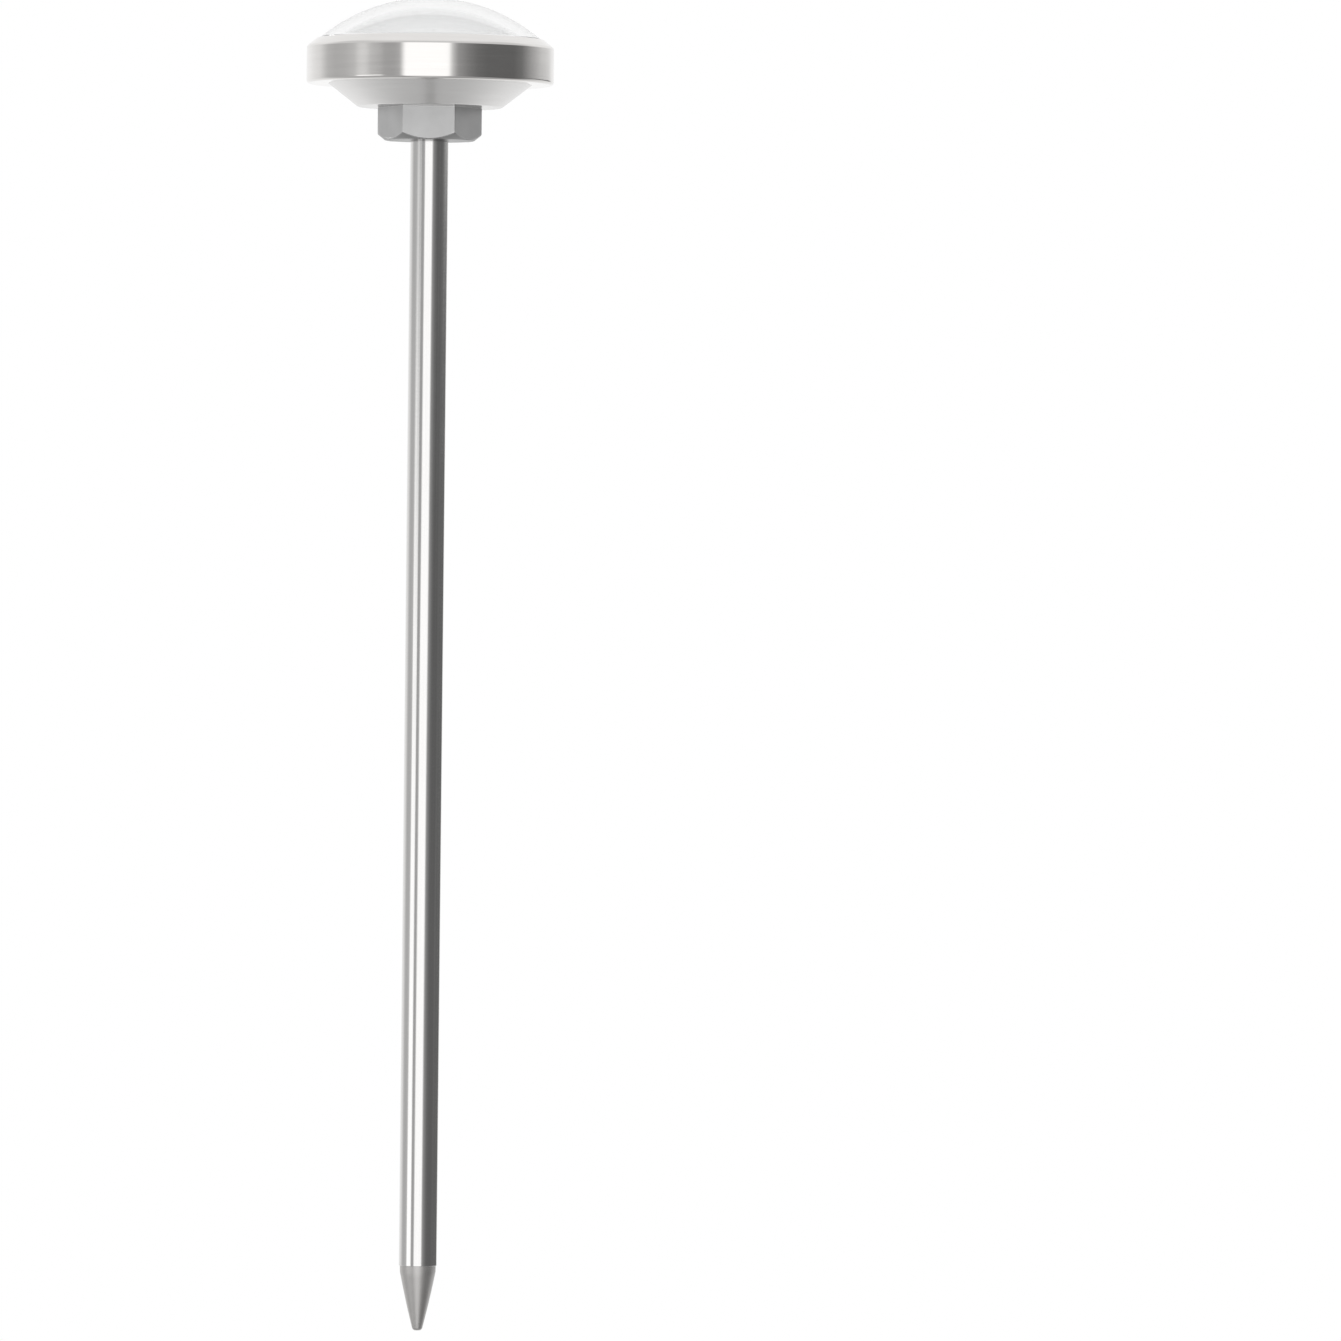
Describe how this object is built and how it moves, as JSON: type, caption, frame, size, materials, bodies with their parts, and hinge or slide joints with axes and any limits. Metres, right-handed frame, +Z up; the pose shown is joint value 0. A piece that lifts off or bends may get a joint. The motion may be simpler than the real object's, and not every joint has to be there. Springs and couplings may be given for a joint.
{
  "type": "bimetal dial meat thermometer",
  "caption": "Dial meat thermometer: round steel head with domed crystal, printed scale and red pointer on a hex nut above a thin pointed stem with a bimetal coil inside.",
  "frame": {"origin": "point of the stem, on the stem's axis", "axes": "+Z up the stem to the dial; +Y is the middle mark of the scale; +X is where the pointer points at rest; two of the nut's flats face +Y and -Y"},
  "size_m": [0.026, 0.026, 0.14],
  "materials": {
    "polished_steel": "polished",
    "turned_steel": "satin turned",
    "nut_steel": "matt sintered",
    "seal_rubber": "matt",
    "spring_steel": "rolled",
    "bushing_brass": "turned",
    "bimetal": "rolled",
    "case_steel": "satin",
    "bezel_steel": "polished",
    "dial_paint": "matt light grey with printed scale",
    "spacer_black": "matt",
    "gasket_rubber": "matt",
    "crystal_clear": "polished",
    "pointer_red": "satin",
    "cap_cream": "satin",
    "shaft_steel": "drawn"
  },
  "bodies": {
    "stem": {"stem_tube": "polished_steel", "stem_tip": "turned_steel", "hex_nut": "nut_steel", "neck_seal": "seal_rubber", "friction_washer": "spring_steel", "retaining_ring": "spring_steel", "upper_bearing": "bushing_brass", "shaft_guide_lower": "bushing_brass", "shaft_guide_middle": "bushing_brass", "coil_anchor": "bushing_brass", "bimetal_coil": "bimetal"},
    "head": {"case_back": "case_steel", "bezel_ring": "bezel_steel", "dial_plate": "dial_paint", "dial_spacer": "spacer_black", "lens_gasket": "gasket_rubber", "crystal": "crystal_clear"},
    "pointer": {"pointer": "pointer_red", "pointer_hub": "bushing_brass", "pointer_cap": "cap_cream", "pointer_shaft": "shaft_steel", "coil_collar": "bushing_brass"}
  },
  "joints": [
    {"name": "pointer_turn", "type": "hinge", "parent": "stem", "child": "pointer", "pos_m": [0, 0, 0.133], "axis": [0, 0, 1], "range_deg": [-71.55, 252.45], "stiffness_Nm_per_rad": 0.0002, "deforming": ["bimetal_coil"]},
    {"name": "head_calibration", "type": "hinge", "parent": "stem", "child": "head", "pos_m": [0, 0, 0.1285], "axis": [0, 0, 1], "continuous": true}
  ]
}
